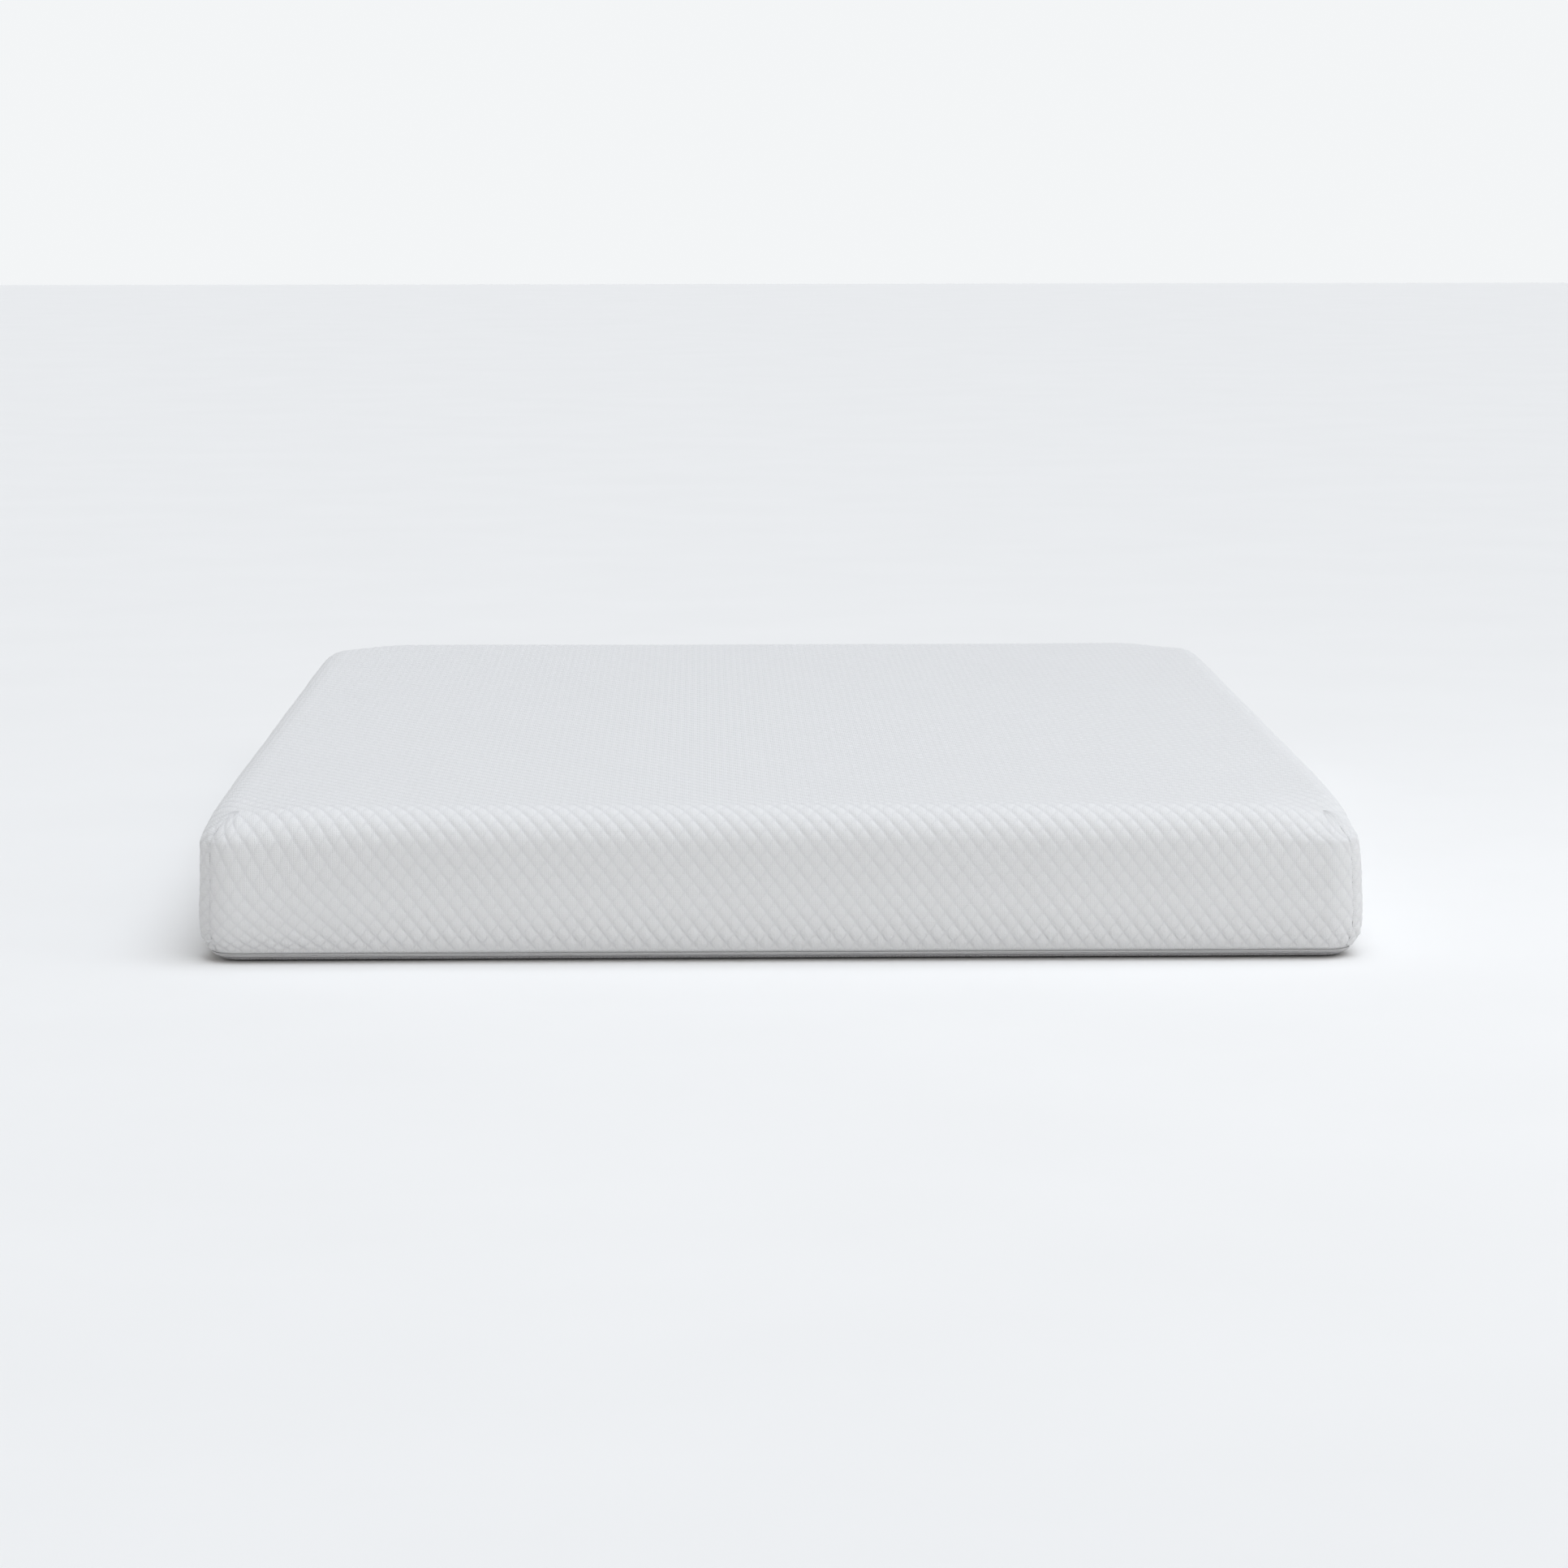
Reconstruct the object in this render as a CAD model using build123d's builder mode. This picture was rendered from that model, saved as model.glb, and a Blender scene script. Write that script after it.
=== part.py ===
"""Queen size memory foam mattress in a zipped, quilted knit cover.

Units are millimetres. The origin is the middle of the underside, +Z is up and +Y points to the head
end, so the foot end faces -Y. Every fabric is a skin that follows the mattress's rounded outline, and
`inset` is always a depth below the outer surface of the knit: 0 is the surface itself, a negative inset
stands proud of it.
"""

import os
from math import cos, degrees, radians, sin

from build123d import *

# Outline: 60 x 80 x 8 inches
WIDTH = 1524.0
LENGTH = 2032.0
THICKNESS = 203.0
CORNER_RADIUS = 52.0
TOP_EDGE_RADIUS = 50.0
BOTTOM_EDGE_RADIUS = 42.0

# Quilted cover: knit face, polyester wadding and a backing scrim, stitched together
KNIT = 1.2
WADDING = 3.2
BACKING = 0.8
QUILT_HEM_Z = 19.0
BASE_PANEL = 1.2

# Corner darts, where the top panel's spare cloth is taken up
SEAM_WIDTH = 1.6
SEAM_START = 3.0
SEAM_REACH = 62.0

# Zip round the lower edge. Its middle line lies ZIP_ANGLE degrees below the horizontal on the rounding.
ZIP_ANGLE = 52.0
HEM_HALF_GAP = 7.0
TAPE = 0.8
TAPE_HALF_GAP = 0.9
TAPE_WIDTH = 10.6
COIL_WIDTH = 2.3
COIL_HEIGHT = 1.9
THREAD = 0.8
THREAD_FROM_HEM = 1.8

# Where the zip begins and ends on the head side
COIL_END_X = 604.0
COIL_START_X = 632.0
END_STOP_LENGTH = 3.0
START_STOP_LENGTH = 4.2
STOP_CLEARANCE = 0.3
STOP_OVERHANG = 0.4
STOP_HEIGHT = 2.2
END_STOP_CORNER = 0.5
START_STOP_CORNER = 0.9
END_TAB_LENGTH = 34.0
END_TAB_START_X = 605.5
END_TAB_HALF_WIDTH = 8.4
END_TAB_FOOT_RISE = 7.3
END_TAB_RISE = 1.9
END_TAB_CLOTH = 0.6

# Slider, with its travel along the head side
SLIDER_X = 597.0
SLIDER_LENGTH = 12.6
SLIDER_FRONT_WIDTH = 9.6
SLIDER_REAR_WIDTH = 8.4
SLIDER_PLATE = 1.0
SLIDER_CORNER = 1.6
CHANNEL_WIDTH = 7.4
CHANNEL_UNDER_TAPE = 0.65
CHANNEL_OVER_COIL = 0.35
FLANGE_END_INSET = 0.8
POST_WIDTH = 1.2
POST_LENGTH = 3.0
POST_X = 2.6
CROWN_LENGTH = 7.0
CROWN_WIDTH = 2.2
CROWN_HEIGHT = 2.8
CROWN_WINDOW_LENGTH = 3.0
CROWN_WINDOW_HEIGHT = 1.9

# Pull tab, hinged on a bar under the slider's crown
PULL_BAR_DIAMETER = 1.2
PULL_BAR_CLEARANCE = 0.3
PULL_LENGTH = 25.0
PULL_WIDTH = 7.0
PULL_EYE_WIDTH = 3.1
PULL_EYE_LENGTH = 4.8
PULL_GRIP_WIDTH = 3.4
PULL_GRIP_LENGTH = 9.0
PULL_GRIP_MARGIN = 2.6
PULL_CORNER = 1.6

# Foam core in its fire barrier sleeve
CORE_BOTTOM_RADIUS = 44.0
BARRIER_INSET = 6.2
BARRIER = 1.0
BARRIER_BOTTOM_Z = 1.4
BARRIER_OPENING_MARGIN = 220.0
SUPPORT_TOP_Z = 97.0
TRANSITION_TOP_Z = 146.0
CHANNEL_RADIUS = 6.0
CHANNEL_PITCH = 80.0
CHANNEL_COUNT = 24

# Labels
LAW_LABEL_X = -420.0
LAW_LABEL_Z = 104.0
LAW_LABEL_WIDTH = 120.0
LAW_LABEL_HEIGHT = 78.0
LAW_LABEL_CLOTH = 0.5
CARE_LABEL_X = 500.0
CARE_LABEL_Z = 80.0
CARE_LABEL_WIDTH = 38.0
CARE_LABEL_HEIGHT = 62.0
CARE_LABEL_OUTER_INSET = 5.4
CARE_LABEL_CLOTH = 0.5

TAPE_INNER_INSET = KNIT + TAPE
COIL_TOP_INSET = KNIT - COIL_HEIGHT
BACKING_INSET = KNIT + WADDING
THREAD_RISE = HEM_HALF_GAP + THREAD_FROM_HEM
PLATE_TOP = SLIDER_PLATE + CHANNEL_OVER_COIL - COIL_TOP_INSET
CHANNEL_TOP = PLATE_TOP - SLIDER_PLATE
CHANNEL_BOTTOM = -(TAPE_INNER_INSET + CHANNEL_UNDER_TAPE)
BAR_RISE = PLATE_TOP + PULL_BAR_CLEARANCE + PULL_BAR_DIAMETER / 2
EDGE_X = WIDTH / 2 - BOTTOM_EDGE_RADIUS
EDGE_Y = LENGTH / 2 - BOTTOM_EDGE_RADIUS


def zip_angle(rise):
    """Degrees below the horizontal of a line that lies `rise` up the rounding from the zip's middle."""
    return ZIP_ANGLE - degrees(rise / BOTTOM_EDGE_RADIUS)


def rounding_height(rise):
    """Height of the outer surface at a rise from the zip's middle line."""
    return BOTTOM_EDGE_RADIUS * (1 - sin(radians(zip_angle(rise))))


def rounded_block(inset, bottom=None, bottom_radius=None):
    """The mattress's outline shrunk by inset, with its own underside if one is given."""
    low = inset if bottom is None else bottom
    low_radius = BOTTOM_EDGE_RADIUS - inset if bottom_radius is None else bottom_radius
    with BuildPart() as block:
        with BuildSketch(Plane.XY.offset(low)):
            RectangleRounded(WIDTH - 2 * inset, LENGTH - 2 * inset, CORNER_RADIUS - inset)
        extrude(amount=THICKNESS - inset - low)
        fillet(block.faces().sort_by(Axis.Z)[-1].edges(), TOP_EDGE_RADIUS - inset)
        fillet(block.faces().sort_by(Axis.Z)[0].edges(), low_radius)
    return block.part


def skin(outer, inner, low, high):
    """The layer between two blocks, from one height to another."""
    with BuildPart() as layer:
        add(outer)
        add(inner, mode=Mode.SUBTRACT)
        with BuildSketch(Plane.XY.offset(low)):
            Rectangle(2 * WIDTH, 2 * LENGTH)
        extrude(amount=high - low, mode=Mode.INTERSECT)
    return layer.part


def corner_slab(x_sign, y_sign):
    """A thin upright slab across one corner, on its diagonal, where the dart is sewn."""
    reach = (SEAM_START + SEAM_REACH / 2) / 2**0.5
    centre_x = x_sign * (WIDTH / 2 - CORNER_RADIUS + reach)
    centre_y = y_sign * (LENGTH / 2 - CORNER_RADIUS + reach)
    with BuildPart() as slab:
        with BuildSketch():
            with Locations((centre_x, centre_y)):
                Rectangle(SEAM_REACH, SEAM_WIDTH, rotation=45 * x_sign * y_sign)
        extrude(amount=THICKNESS)
    return slab.part


def edge_section(outer_inset, inner_inset, low_rise, high_rise, start_x):
    """Cross-section of a strip on the lower rounding of the head side, between two insets and two rises
    from the zip's middle line. It faces +X."""
    outer_radius = BOTTOM_EDGE_RADIUS - outer_inset
    inner_radius = BOTTOM_EDGE_RADIUS - inner_inset
    first_angle = -zip_angle(low_rise)
    swept_angle = zip_angle(low_rise) - zip_angle(high_rise)
    centre = (start_x, EDGE_Y, BOTTOM_EDGE_RADIUS)
    with BuildSketch(Plane(origin=centre, x_dir=(0, 1, 0), z_dir=(1, 0, 0))) as section:
        with BuildLine():
            outside = CenterArc((0, 0), outer_radius, first_angle, swept_angle)
            inside = CenterArc((0, 0), inner_radius, first_angle, swept_angle)
            Line(outside @ 0, inside @ 0)
            Line(outside @ 1, inside @ 1)
        make_face()
    return section.sketch


def edge_band(section, points):
    """A section swept along the centre of the lower rounding, through points and round corners."""
    with BuildPart() as band:
        with BuildLine(Plane.XY.offset(BOTTOM_EDGE_RADIUS)) as path:
            FilletPolyline(*points, radius=CORNER_RADIUS - BOTTOM_EDGE_RADIUS)
        sweep(sections=section, path=path.wires()[0])
    return band.part


def edge_ring(outer_inset, inner_inset, low_rise, high_rise):
    """An edge band all the way round: one half, mirrored."""
    half_points = [(0, EDGE_Y), (EDGE_X, EDGE_Y), (EDGE_X, -EDGE_Y), (0, -EDGE_Y)]
    section = edge_section(outer_inset, inner_inset, low_rise, high_rise, 0)
    with BuildPart() as ring:
        add(edge_band(section, half_points))
        mirror(about=Plane.YZ)
    return ring.part


def zip_plane(rise):
    """Plane parallel to the zip on the head side, at a height above the outer surface at the zip's middle
    line. Local x is +X, local y points down the slope and local z outwards."""
    angle = radians(ZIP_ANGLE)
    radius = BOTTOM_EDGE_RADIUS + rise
    origin = (0, EDGE_Y + radius * cos(angle), BOTTOM_EDGE_RADIUS - radius * sin(angle))
    return Plane(origin=origin, x_dir=(1, 0, 0), z_dir=(0, cos(angle), -sin(angle)))


def at_slider(rise):
    """The zip's plane at a height above the surface, centred on the slider."""
    plane = zip_plane(rise)
    return plane.shift_origin(plane.from_local_coords((SLIDER_X, 0, 0)))


def finish(part, name):
    """Labels a finished piece and writes it."""
    part.label = name
    export_step(part, f"parts/{name}.step")


os.makedirs("parts", exist_ok=True)

# --- Cover ---------------------------------------------------------------------------------------

upper_hem_z = rounding_height(HEM_HALF_GAP)
lower_hem_z = rounding_height(-HEM_HALF_GAP)

outer_surface = rounded_block(0)
knit_lining = rounded_block(KNIT)
knit_skin = skin(outer_surface, knit_lining, upper_hem_z, THICKNESS)
ends = {"foot": -1, "head": 1}
sides = {"left": -1, "right": 1}
dart_slabs = {
    f"corner_seam_{end}_{side}": corner_slab(sides[side], ends[end]) for end in ends for side in sides
}

with BuildPart() as quilt_knit_face:
    add(knit_skin)
    for slab in dart_slabs.values():
        add(slab, mode=Mode.SUBTRACT)
finish(quilt_knit_face.part, "quilt_knit_face")

for name, slab in dart_slabs.items():
    with BuildPart() as corner_seam:
        add(knit_skin)
        add(slab, mode=Mode.INTERSECT)
    finish(corner_seam.part, name)

wadding_inside = rounded_block(BACKING_INSET)
with BuildPart() as quilt_wadding:
    add(skin(knit_lining, wadding_inside, QUILT_HEM_Z, THICKNESS))
finish(quilt_wadding.part, "quilt_wadding")

with BuildPart() as quilt_backing:
    add(skin(wadding_inside, rounded_block(BACKING_INSET + BACKING), QUILT_HEM_Z, THICKNESS))
finish(quilt_backing.part, "quilt_backing")

with BuildPart() as base_panel:
    add(skin(outer_surface, rounded_block(BASE_PANEL), 0, lower_hem_z))
finish(base_panel.part, "base_panel")

# --- Zip tapes, coils and the stitching that holds the tapes ----------------------------------------

coil_points = [
    (COIL_START_X, EDGE_Y),
    (EDGE_X, EDGE_Y),
    (EDGE_X, -EDGE_Y),
    (-EDGE_X, -EDGE_Y),
    (-EDGE_X, EDGE_Y),
    (COIL_END_X, EDGE_Y),
]

for name, direction in {"upper": 1, "lower": -1}.items():
    tape_rises = sorted([direction * TAPE_HALF_GAP, direction * (TAPE_HALF_GAP + TAPE_WIDTH)])
    with BuildPart() as zip_tape:
        add(edge_ring(KNIT, TAPE_INNER_INSET, *tape_rises))
    finish(zip_tape.part, f"zip_tape_{name}")

    coil_rises = sorted([direction * TAPE_HALF_GAP, direction * (TAPE_HALF_GAP + COIL_WIDTH)])
    with BuildPart() as zip_coil:
        add(edge_band(edge_section(COIL_TOP_INSET, KNIT, *coil_rises, COIL_START_X), coil_points))
    finish(zip_coil.part, f"zip_coil_{name}")

    thread_rises = sorted([direction * THREAD_RISE, direction * (THREAD_RISE + THREAD)])
    with BuildPart() as hem_stitching:
        add(edge_ring(-THREAD, 0, *thread_rises))
    finish(hem_stitching.part, f"hem_stitching_{name}")

# --- Stops at the two ends of the coils, and the cloth tab sewn over them --------------------------

coil_base_plane = zip_plane(-KNIT)

for name, direction in {"upper": -1, "lower": 1}.items():
    end_stop_x = COIL_END_X + STOP_CLEARANCE + END_STOP_LENGTH / 2
    end_stop_y = direction * (TAPE_HALF_GAP + COIL_WIDTH / 2)
    with BuildPart() as zip_end_stop:
        with BuildSketch(coil_base_plane):
            with Locations((end_stop_x, end_stop_y)):
                RectangleRounded(END_STOP_LENGTH, COIL_WIDTH + STOP_OVERHANG, END_STOP_CORNER)
        extrude(amount=STOP_HEIGHT)
    finish(zip_end_stop.part, f"zip_end_stop_{name}")

with BuildPart() as zip_start_stop:
    with BuildSketch(coil_base_plane):
        with Locations((COIL_START_X - STOP_CLEARANCE - START_STOP_LENGTH / 2, 0)):
            start_stop_width = 2 * (TAPE_HALF_GAP + COIL_WIDTH) + STOP_OVERHANG
            RectangleRounded(START_STOP_LENGTH, start_stop_width, START_STOP_CORNER)
    extrude(amount=STOP_HEIGHT)
finish(zip_start_stop.part, "zip_start_stop")

with BuildPart() as zip_end_tab:
    roof_inner = END_TAB_CLOTH - END_TAB_RISE
    roof = edge_section(-END_TAB_RISE, roof_inner, -END_TAB_HALF_WIDTH, END_TAB_HALF_WIDTH, END_TAB_START_X)
    extrude(roof, amount=END_TAB_LENGTH)
    for rises in ((-END_TAB_HALF_WIDTH, -END_TAB_FOOT_RISE), (END_TAB_FOOT_RISE, END_TAB_HALF_WIDTH)):
        extrude(edge_section(roof_inner, 0, *rises, END_TAB_START_X), amount=END_TAB_LENGTH)
finish(zip_end_tab.part, "zip_end_tab")

# --- Slider and its pull ---------------------------------------------------------------------------

with BuildSketch() as slider_outline:
    with BuildLine():
        Polyline(
            (-SLIDER_LENGTH / 2, -SLIDER_REAR_WIDTH / 2),
            (SLIDER_LENGTH / 2, -SLIDER_FRONT_WIDTH / 2),
            (SLIDER_LENGTH / 2, SLIDER_FRONT_WIDTH / 2),
            (-SLIDER_LENGTH / 2, SLIDER_REAR_WIDTH / 2),
            close=True,
        )
    make_face()
    fillet(slider_outline.vertices(), SLIDER_CORNER)

with BuildPart() as zip_slider:
    with BuildSketch(at_slider(-FLANGE_END_INSET)):
        add(slider_outline.sketch)
    extrude(amount=PLATE_TOP + FLANGE_END_INSET)
    with BuildSketch(at_slider(-FLANGE_END_INSET)):
        Rectangle(2 * SLIDER_LENGTH, CHANNEL_WIDTH)
    extrude(amount=CHANNEL_TOP + FLANGE_END_INSET, mode=Mode.SUBTRACT)
    with BuildSketch(at_slider(CHANNEL_BOTTOM - SLIDER_PLATE)):
        add(slider_outline.sketch)
    extrude(amount=SLIDER_PLATE)
    with BuildSketch(at_slider(CHANNEL_BOTTOM)):
        with Locations((POST_X, 0)):
            SlotOverall(POST_LENGTH, POST_WIDTH)
    extrude(amount=CHANNEL_TOP - CHANNEL_BOTTOM)
    with BuildSketch(at_slider(PLATE_TOP)):
        Rectangle(CROWN_LENGTH, CROWN_WIDTH)
    extrude(amount=CROWN_HEIGHT)
    with BuildSketch(at_slider(PLATE_TOP)):
        Rectangle(CROWN_WINDOW_LENGTH, 2 * CROWN_WIDTH)
    extrude(amount=CROWN_WINDOW_HEIGHT, mode=Mode.SUBTRACT)
finish(zip_slider.part, "zip_slider")

with BuildPart() as zip_pull_tab:
    with BuildSketch(at_slider(BAR_RISE - PULL_BAR_DIAMETER / 2)):
        with Locations((-PULL_LENGTH / 2, 0)):
            pull_plate = Rectangle(PULL_LENGTH, PULL_WIDTH)
        fillet(pull_plate.vertices().group_by(Axis.X)[0], PULL_CORNER)
        with Locations((-PULL_EYE_LENGTH / 2, 0)):
            Rectangle(PULL_EYE_LENGTH, PULL_EYE_WIDTH, mode=Mode.SUBTRACT)
        with Locations((PULL_GRIP_LENGTH / 2 + PULL_GRIP_MARGIN - PULL_LENGTH, 0)):
            SlotOverall(PULL_GRIP_LENGTH, PULL_GRIP_WIDTH, mode=Mode.SUBTRACT)
    extrude(amount=PULL_BAR_DIAMETER)
    with Locations(at_slider(BAR_RISE)):
        Cylinder(PULL_BAR_DIAMETER / 2, PULL_WIDTH, rotation=(90, 0, 0))
finish(zip_pull_tab.part, "zip_pull_tab")

# --- Foam core in its fire barrier sleeve ------------------------------------------------------------

core_inset = BARRIER_INSET + BARRIER
core = rounded_block(core_inset, BARRIER_BOTTOM_Z + BARRIER, CORE_BOTTOM_RADIUS - BARRIER)

with BuildPart() as fire_barrier_sleeve:
    add(rounded_block(BARRIER_INSET, BARRIER_BOTTOM_Z, CORE_BOTTOM_RADIUS))
    add(core, mode=Mode.SUBTRACT)
    with BuildSketch():
        Rectangle(WIDTH - 2 * BARRIER_OPENING_MARGIN, LENGTH - 2 * BARRIER_OPENING_MARGIN)
    extrude(amount=SUPPORT_TOP_Z, mode=Mode.SUBTRACT)
finish(fire_barrier_sleeve.part, "fire_barrier_sleeve")

layer_heights = {
    "support_foam_base": (0, SUPPORT_TOP_Z),
    "transition_foam_layer": (SUPPORT_TOP_Z, TRANSITION_TOP_Z),
    "memory_foam_layer": (TRANSITION_TOP_Z, THICKNESS),
}
for name, (low, high) in layer_heights.items():
    with BuildPart() as foam_layer:
        add(core)
        with BuildSketch(Plane.XY.offset(low)):
            Rectangle(WIDTH, LENGTH)
        extrude(amount=high - low, mode=Mode.INTERSECT)
        if name == "transition_foam_layer":
            with BuildSketch(Plane.YZ):
                with Locations((0, TRANSITION_TOP_Z)):
                    with GridLocations(CHANNEL_PITCH, 1, CHANNEL_COUNT, 1):
                        Circle(CHANNEL_RADIUS)
            extrude(amount=WIDTH, both=True, mode=Mode.SUBTRACT)
    finish(foam_layer.part, name)

# --- Labels ----------------------------------------------------------------------------------------

with BuildPart() as law_label:
    with BuildSketch(Plane.XZ.offset(-LENGTH / 2 - LAW_LABEL_CLOTH)):
        with Locations((LAW_LABEL_X, LAW_LABEL_Z)):
            Rectangle(LAW_LABEL_WIDTH, LAW_LABEL_HEIGHT)
    extrude(amount=LAW_LABEL_CLOTH)
finish(law_label.part, "law_label")

with BuildPart() as care_label:
    with BuildSketch(Plane.XZ.offset(CARE_LABEL_OUTER_INSET - LENGTH / 2)):
        with Locations((CARE_LABEL_X, CARE_LABEL_Z)):
            Rectangle(CARE_LABEL_WIDTH, CARE_LABEL_HEIGHT)
    extrude(amount=CARE_LABEL_CLOTH)
finish(care_label.part, "care_label")
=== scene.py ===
"""Looks of the queen size memory foam mattress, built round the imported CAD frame.

Lengths are in millimetres until a mesh is made, and Blender gets metres. The cover is one cloth: its
diamond quilting is a lattice in the flat cloth, and the cloth is then laid over the mattress.
"""

import math

import bpy
import numpy as np
from mathutils import Matrix, Vector


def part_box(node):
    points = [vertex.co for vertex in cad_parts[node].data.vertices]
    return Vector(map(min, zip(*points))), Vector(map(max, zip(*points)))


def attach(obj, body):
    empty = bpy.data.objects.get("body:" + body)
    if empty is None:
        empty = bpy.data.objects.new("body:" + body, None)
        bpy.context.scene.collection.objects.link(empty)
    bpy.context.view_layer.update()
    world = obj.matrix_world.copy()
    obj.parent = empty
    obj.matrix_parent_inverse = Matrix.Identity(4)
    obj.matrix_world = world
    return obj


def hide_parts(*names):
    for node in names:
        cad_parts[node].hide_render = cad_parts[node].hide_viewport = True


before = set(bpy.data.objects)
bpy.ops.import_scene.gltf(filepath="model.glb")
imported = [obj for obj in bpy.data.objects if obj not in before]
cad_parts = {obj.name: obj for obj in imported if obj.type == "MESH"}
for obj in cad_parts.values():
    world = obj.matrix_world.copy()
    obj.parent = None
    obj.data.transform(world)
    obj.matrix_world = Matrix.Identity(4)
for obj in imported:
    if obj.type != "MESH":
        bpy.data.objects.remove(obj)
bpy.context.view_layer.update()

MM = 0.001
QUARTER = math.pi / 2


def cad_mm(node):
    """Lowest and highest corner of a CAD node, in millimetres."""
    low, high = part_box(node)
    return np.array(low) / MM, np.array(high) / MM


# --- Driving dimensions ------------------------------------------------------------------------------

HALF_WIDTH, HALF_LENGTH, HEIGHT = cad_mm("quilt_knit_face")[1]
CORNER_RADIUS = 52.0
TOP_RADIUS = 50.0
LOW_RADIUS = 42.0
CORE_X = HALF_WIDTH - CORNER_RADIUS
CORE_Y = HALF_LENGTH - CORNER_RADIUS

# Quilting: half diamonds across and along the flat top, then down each side and round each corner
HALF_DIAMONDS_X = 67
HALF_DIAMONDS_Y = 68
FOOT_DROP_ROWS = 16
SIDE_DROP_ROWS = 21
FOOT_CORNER_COLUMNS = 4
SIDE_CORNER_COLUMNS = 3
HALF_DIAMOND_X = CORE_X / HALF_DIAMONDS_X
HALF_DIAMOND_Y = CORE_Y / HALF_DIAMONDS_Y
PUFF_STEPS = np.array([0.0, 0.10, 0.27, 0.5, 0.73, 0.90, 1.0])
LAYER_STEPS = np.array([0.0, 0.5, 1.0])
PUFF_HEIGHT = 1.95
PUFF_FULLNESS = 0.86
CROSS_GROOVE = 0.78
LOW_PUFF_GAIN = 1.1
TAUTNESS = 0.5
PUFF_VARIATION = 0.22
PUFF_MIDDLE = 0.62

# The zip on the lower rounding: rise is measured up the rounding from the zip's middle line
ZIP_ANGLE = math.radians(52.0)
HEM_RISE = 7.0
TAPE_INSET = 1.2
TAPE_THICKNESS = 0.8
TAPE_EDGES = (0.9, 11.5)
COIL_SECTION = ((0.0, TAPE_INSET), (-0.15, 0.2), (0.3, -0.5), (1.2, -0.65), (2.0, -0.2), (2.3, TAPE_INSET))
TOOTH_PITCH = 1.8
STITCH_RISE = 9.2
COIL_START_X = 632.0
COIL_END_X = 604.0

# Stretches of the side profile, from the flat top's rim down to the upper hem
FLAT = CORNER_RADIUS - TOP_RADIUS
TOP_ARC = TOP_RADIUS * QUARTER
UPRIGHT = HEIGHT - TOP_RADIUS - LOW_RADIUS
ROUNDING = FLAT + TOP_ARC + UPRIGHT
DROP = ROUNDING + LOW_RADIUS * ZIP_ANGLE - HEM_RISE

# The soft shape: sides that bulge low down, corners that droop, and foam's faint unevenness
BULGE = 2.2
BULGE_Z = 62.0
BULGE_REACH = 30.0
DROOP_REACH = 100.0
DROOP_FROM = 146.0
SIDE_WAVE = 0.35
TOP_WAVE = 0.5

# Each corner, by the signs of its X and Y: how far its top droops, how far its sides lean in at the top,
# and how far its cloth is dragged down
DROOPS = {(-1, -1): 14.0, (1, -1): 22.0, (-1, 1): 13.0, (1, 1): 16.0}
LEANS = {(-1, -1): 1.0, (1, -1): 6.0, (-1, 1): 1.5, (1, 1): 3.0}
DRAGS = {(-1, -1): 34.0, (1, -1): 8.0, (-1, 1): 8.0, (1, 1): 12.0}
LEAN_REACH = 320.0
LEAN_FROM = 105.0
LEAN_FULL = 178.0
DRAG_REACH = 250.0
DRAG_START = 15.0
DRAG_MOST = 110.0

# Corner seams and hems
SEAM_DIP = 1.8
SEAM_DIP_WIDTH = 3.6
PUCKER = 0.5
PUCKER_PITCH = 8.0
PUCKER_REACH = 12.0
GATHER_REACH = 22.0
HEM_TUCK = 1.1

# Layers of the quilt and the barrier under it: how deep each lies, and how high it puffs
FILL_INSET, FILL_PUFF = 2.6, 1.2
SCRIM_INSET, SCRIM_PUFF = 4.8, 0.2
BARRIER_INSET = 6.6

# Stitches, as pitch and thread thickness, and the small sewn cloths
HEM_STITCH = (4.2, 0.9)
CORNER_STITCH = (3.4, 0.9)
LABEL_STITCH = (3.2, 0.7)
LABEL_CURL = 1.2
LABEL_STANDOFF = 2.6
TAB_HALF_HEIGHT = 8.4
SMALL_CLOTH_GRID = (25, 19)
FLOOR_GAP = 0.3

# The knit's pitches, and the two palest colours
KNIT_RIB = 2.8
KNIT_COURSE = 1.9
WHITE_KNIT = (0.80, 0.80, 0.80)
PALE_FLOOR = (0.88, 0.875, 0.865)


# --- Mesh helpers --------------------------------------------------------------------------------------


def new_object(name, points, quads=(), triangles=()):
    """A smooth mesh object from points in millimetres, quads and triangles."""
    quads = np.asarray(quads, np.int32).reshape(-1, 4)
    triangles = np.asarray(triangles, np.int32).reshape(-1, 3)
    mesh = bpy.data.meshes.new(name)
    mesh.vertices.add(len(points))
    mesh.vertices.foreach_set("co", (np.asarray(points) * MM).astype(np.float32).ravel())
    loops = np.concatenate([quads.ravel(), triangles.ravel()])
    mesh.loops.add(len(loops))
    mesh.loops.foreach_set("vertex_index", loops)
    sizes = np.concatenate([np.full(len(quads), 4), np.full(len(triangles), 3)])
    starts = np.concatenate([[0], np.cumsum(sizes)[:-1]]).astype(np.int32)
    mesh.polygons.add(len(sizes))
    mesh.polygons.foreach_set("loop_start", starts)
    mesh.polygons.foreach_set("use_smooth", np.ones(len(sizes), bool))
    mesh.update(calc_edges=True)
    obj = bpy.data.objects.new(name, mesh)
    bpy.context.scene.collection.objects.link(obj)
    return obj


def store(obj, name, vectors):
    """Keeps a vector per point on the mesh, for its material to read."""
    attribute = obj.data.attributes.new(name, "FLOAT_VECTOR", "POINT")
    attribute.data.foreach_set("vector", np.asarray(vectors, np.float32).ravel())


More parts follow.
